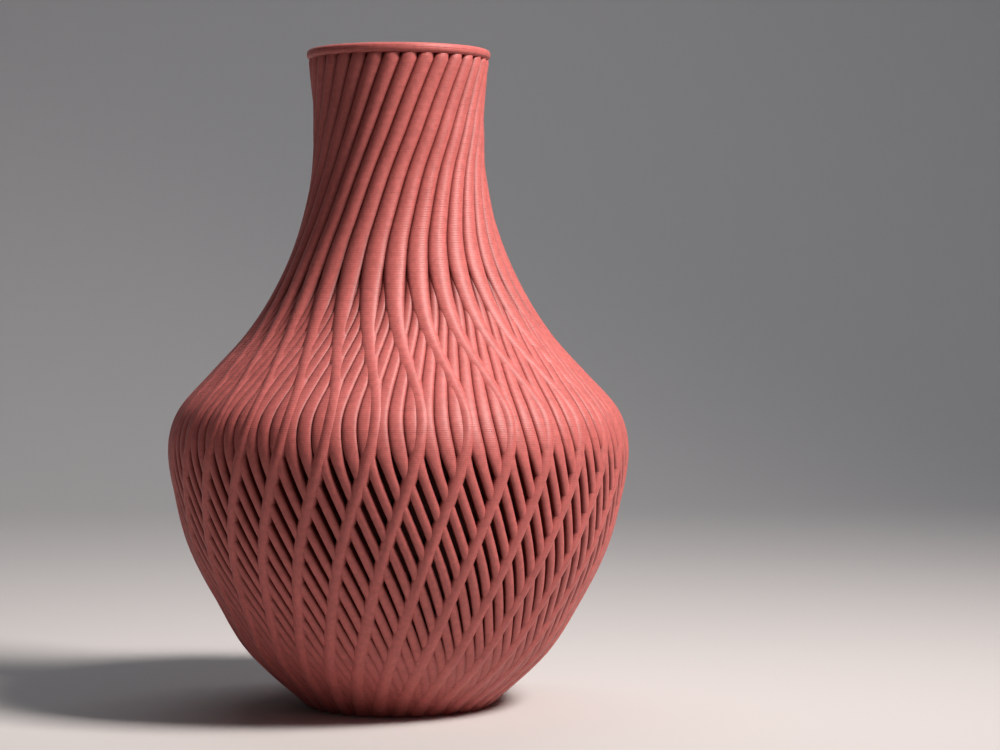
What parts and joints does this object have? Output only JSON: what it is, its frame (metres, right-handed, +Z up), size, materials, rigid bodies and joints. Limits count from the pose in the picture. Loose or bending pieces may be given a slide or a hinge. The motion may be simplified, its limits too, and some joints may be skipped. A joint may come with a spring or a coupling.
{
  "type": "vase",
  "caption": "Round-bellied printed vase with a narrow neck, a smooth rim and a woven skin of thick twisting ropes over thinner crossing ribs.",
  "frame": {"origin": "middle of the flat base, on the surface that the vase stands on", "axes": "+Z up the vase's axis to the mouth; -Y faces the viewer at azimuth 0, +X to the right"},
  "size_m": [0.1944, 0.1944, 0.2764],
  "materials": {
    "vessel": "matte, printed in fine layers",
    "rim": "matte, smooth",
    "ropes": "matte, printed in fine layers",
    "ribs": "matte, printed in fine layers"
  },
  "bodies": {
    "root": {"foot_wall": "vessel", "belly_wall": "vessel", "shoulder_wall": "vessel", "neck_wall": "vessel", "floor_disc": "vessel", "rim_ring": "rim", "outer_rope_01": "ropes", "outer_rope_02": "ropes", "outer_rope_03": "ropes", "outer_rope_04": "ropes", "outer_rope_05": "ropes", "outer_rope_06": "ropes", "outer_rope_07": "ropes", "outer_rope_08": "ropes", "outer_rope_09": "ropes", "outer_rope_10": "ropes", "outer_rope_11": "ropes", "outer_rope_12": "ropes", "outer_rope_13": "ropes", "outer_rope_14": "ropes", "outer_rope_15": "ropes", "outer_rope_16": "ropes", "outer_rope_17": "ropes", "outer_rope_18": "ropes", "outer_rope_19": "ropes", "outer_rope_20": "ropes", "outer_rope_21": "ropes", "outer_rope_22": "ropes", "outer_rope_23": "ropes", "outer_rope_24": "ropes", "outer_rope_25": "ropes", "outer_rope_26": "ropes", "outer_rope_27": "ropes", "outer_rope_28": "ropes", "outer_rope_29": "ropes", "outer_rope_30": "ropes", "outer_rope_31": "ropes", "outer_rope_32": "ropes", "rib_bundle_01": "ribs", "rib_bundle_02": "ribs", "rib_bundle_03": "ribs", "rib_bundle_04": "ribs", "rib_bundle_05": "ribs", "rib_bundle_06": "ribs", "rib_bundle_07": "ribs", "rib_bundle_08": "ribs", "rib_bundle_09": "ribs", "rib_bundle_10": "ribs", "rib_bundle_11": "ribs", "rib_bundle_12": "ribs", "rib_bundle_13": "ribs", "rib_bundle_14": "ribs", "rib_bundle_15": "ribs", "rib_bundle_16": "ribs"}
  },
  "joints": []
}
